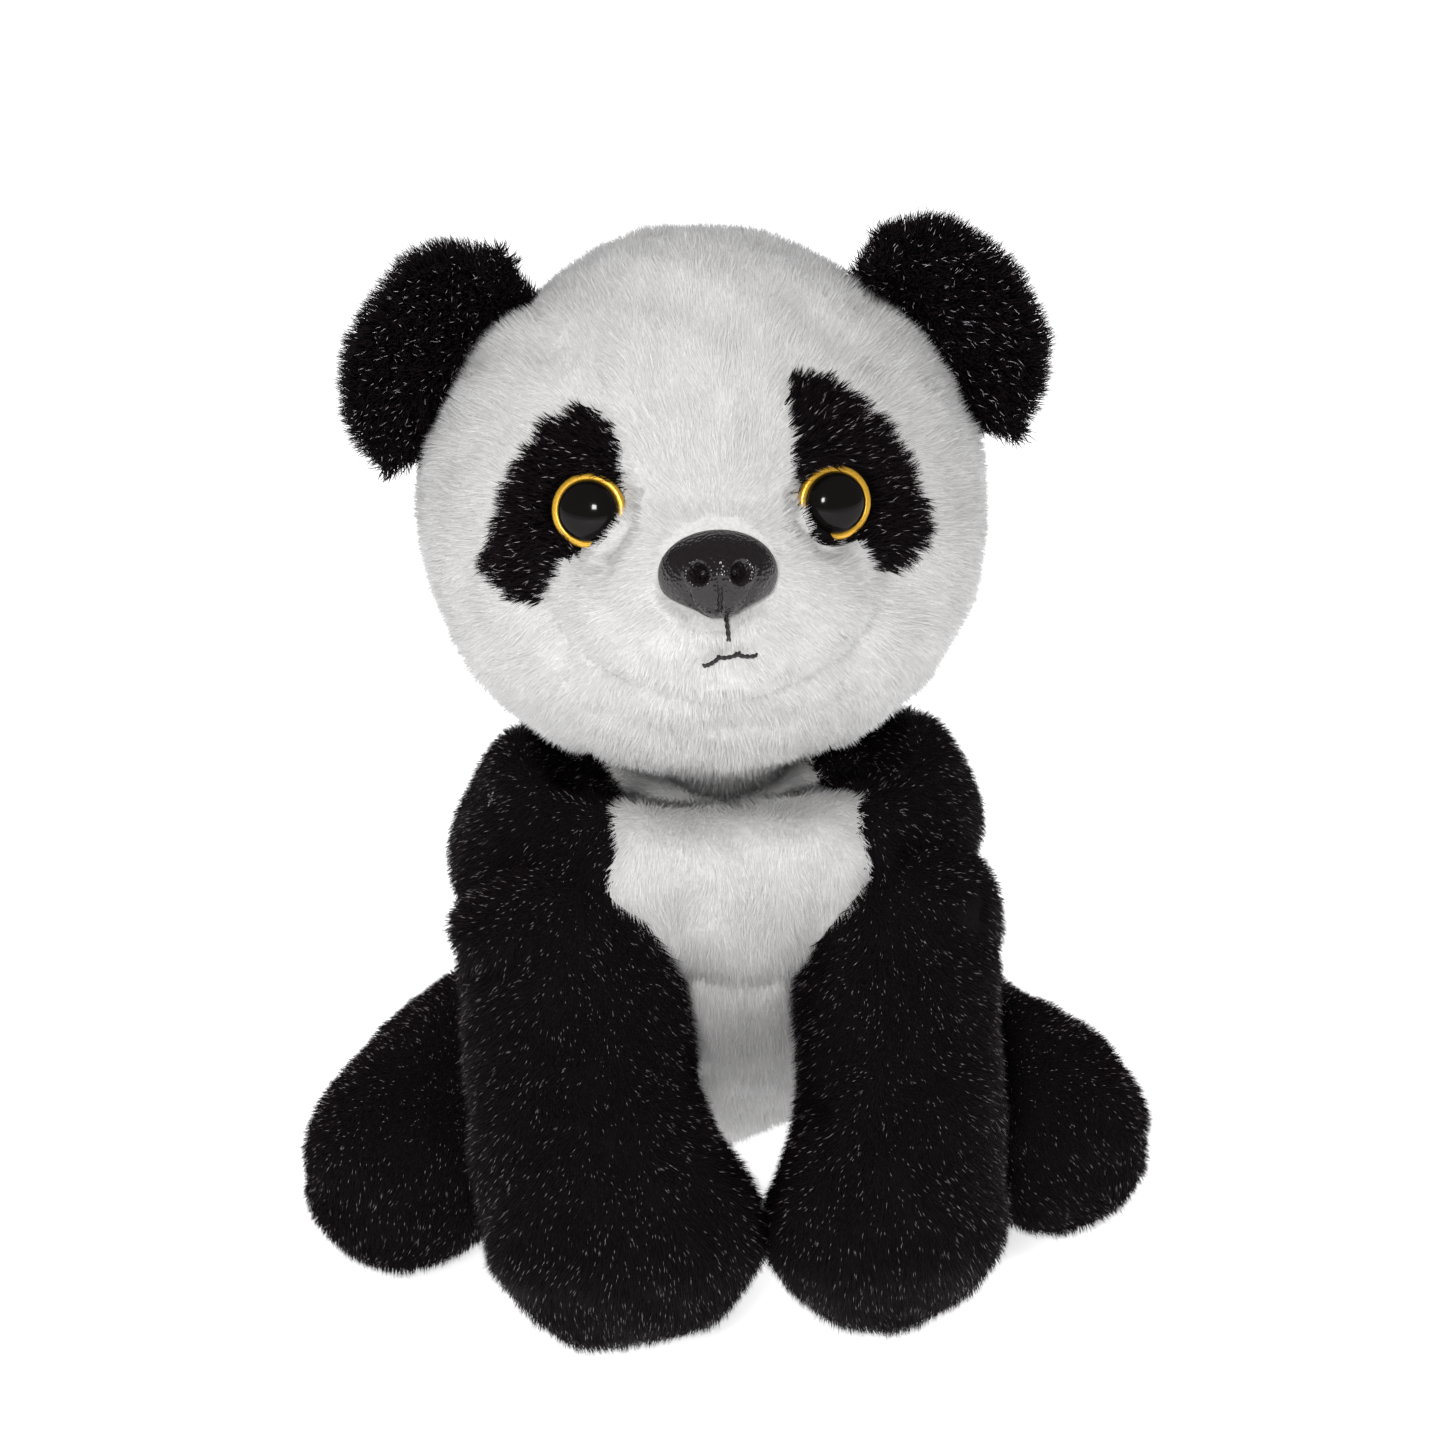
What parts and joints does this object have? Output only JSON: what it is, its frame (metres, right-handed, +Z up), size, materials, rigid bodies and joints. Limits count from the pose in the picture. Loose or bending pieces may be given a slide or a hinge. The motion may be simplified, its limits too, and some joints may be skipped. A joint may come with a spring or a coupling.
{
  "type": "plush panda",
  "caption": "Seated plush panda in black and white fur fabric with jointed head, ears, legs and tail, moulded eyes and nose.",
  "frame": {"origin": "on the floor, under the middle of the paws and seat, at the centre of the toy's footprint", "axes": "+Z up, -Y the way the animal faces, +X its own left side"},
  "size_m": [0.1666, 0.1535, 0.2062],
  "materials": {
    "white_fur": "short plush pile, satin",
    "black_fur": "plush pile with fine glints",
    "fibrefill": "matt polyester fibre",
    "black_plastic": "gloss",
    "nose_plastic": "gloss with a leather grain",
    "gold_paint": "metallic gold paint",
    "washer_plastic": "natural, matt",
    "black_thread": "twisted thread",
    "white_thread": "twisted thread"
  },
  "bodies": {
    "torso": {"bib_panel": "white_fur", "belly_panel": "white_fur", "left_shoulder_panel": "black_fur", "right_shoulder_panel": "black_fur", "left_flank_panel": "white_fur", "right_flank_panel": "white_fur", "seat_panel": "white_fur", "torso_stuffing": "fibrefill", "closing_stitches": "white_thread"},
    "neck": {"neck_stuffing": "fibrefill"},
    "head": {"forehead_gusset": "white_fur", "muzzle_panel": "white_fur", "chin_panel": "white_fur", "left_cheek_panel": "white_fur", "right_cheek_panel": "white_fur", "left_eye_patch": "black_fur", "right_eye_patch": "black_fur", "head_stuffing": "fibrefill", "left_eye_dome": "black_plastic", "left_eye_ring": "gold_paint", "left_eye_shank": "black_plastic", "left_eye_washer": "washer_plastic", "right_eye_dome": "black_plastic", "right_eye_ring": "gold_paint", "right_eye_shank": "black_plastic", "right_eye_washer": "washer_plastic", "nose": "nose_plastic", "nose_washer": "washer_plastic", "mouth_stitches": "black_thread"},
    "left_ear": {"left_ear_front": "black_fur", "left_ear_back": "black_fur"},
    "right_ear": {"right_ear_front": "black_fur", "right_ear_back": "black_fur"},
    "left_foreleg": {"left_foreleg_outer": "black_fur", "left_foreleg_inner": "black_fur", "left_foreleg_sole": "black_fur", "left_foreleg_stuffing": "fibrefill"},
    "right_foreleg": {"right_foreleg_outer": "black_fur", "right_foreleg_inner": "black_fur", "right_foreleg_sole": "black_fur", "right_foreleg_stuffing": "fibrefill"},
    "left_hindleg": {"left_hindleg_upper": "black_fur", "left_hindleg_under": "black_fur", "left_hindleg_stuffing": "fibrefill"},
    "right_hindleg": {"right_hindleg_upper": "black_fur", "right_hindleg_under": "black_fur", "right_hindleg_stuffing": "fibrefill"},
    "tail": {"tail_cover": "white_fur", "tail_stuffing": "fibrefill"}
  },
  "joints": [
    {"name": "neck_nod", "type": "hinge", "parent": "torso", "child": "neck", "pos_m": [0, 0, 0.106], "axis": [1, 0, 0], "range_deg": [-10, 8], "stiffness_Nm_per_rad": 1.2},
    {"name": "neck_turn", "type": "hinge", "parent": "neck", "child": "head", "pos_m": [0, 0, 0.106], "axis": [0, 0, 1], "range_deg": [-30, 30], "stiffness_Nm_per_rad": 0.6},
    {"name": "left_ear_fold", "type": "hinge", "parent": "head", "child": "left_ear", "pos_m": [0.04433, -0.00316, 0.18387], "axis": [-0.5785, 0.0506, 0.8141], "range_deg": [-20, 20], "stiffness_Nm_per_rad": 0.02},
    {"name": "right_ear_fold", "type": "hinge", "parent": "head", "child": "right_ear", "pos_m": [-0.05313, 0.00537, 0.17966], "axis": [0.5056, -0.0442, 0.8616], "range_deg": [-20, 20], "stiffness_Nm_per_rad": 0.02},
    {"name": "left_foreleg_swing", "type": "hinge", "parent": "torso", "child": "left_foreleg", "pos_m": [0.032, -0.027, 0.069], "axis": [0.9063, 0, -0.4226], "range_deg": [-50, 0], "stiffness_Nm_per_rad": 0.25},
    {"name": "right_foreleg_swing", "type": "hinge", "parent": "torso", "child": "right_foreleg", "pos_m": [-0.032, -0.027, 0.069], "axis": [0.9063, 0, 0.4226], "range_deg": [-50, 0], "stiffness_Nm_per_rad": 0.25},
    {"name": "left_hindleg_swing", "type": "hinge", "parent": "torso", "child": "left_hindleg", "pos_m": [0.042, 0.026, 0.024], "axis": [0.866, 0, -0.5], "range_deg": [-35, 15], "stiffness_Nm_per_rad": 0.25},
    {"name": "right_hindleg_swing", "type": "hinge", "parent": "torso", "child": "right_hindleg", "pos_m": [-0.042, 0.026, 0.024], "axis": [0.866, 0, 0.5], "range_deg": [-35, 15], "stiffness_Nm_per_rad": 0.25},
    {"name": "tail_lift", "type": "hinge", "parent": "torso", "child": "tail", "pos_m": [0, 0.064, 0.026], "axis": [1, 0, 0], "range_deg": [-20, 20], "stiffness_Nm_per_rad": 0.02}
  ]
}
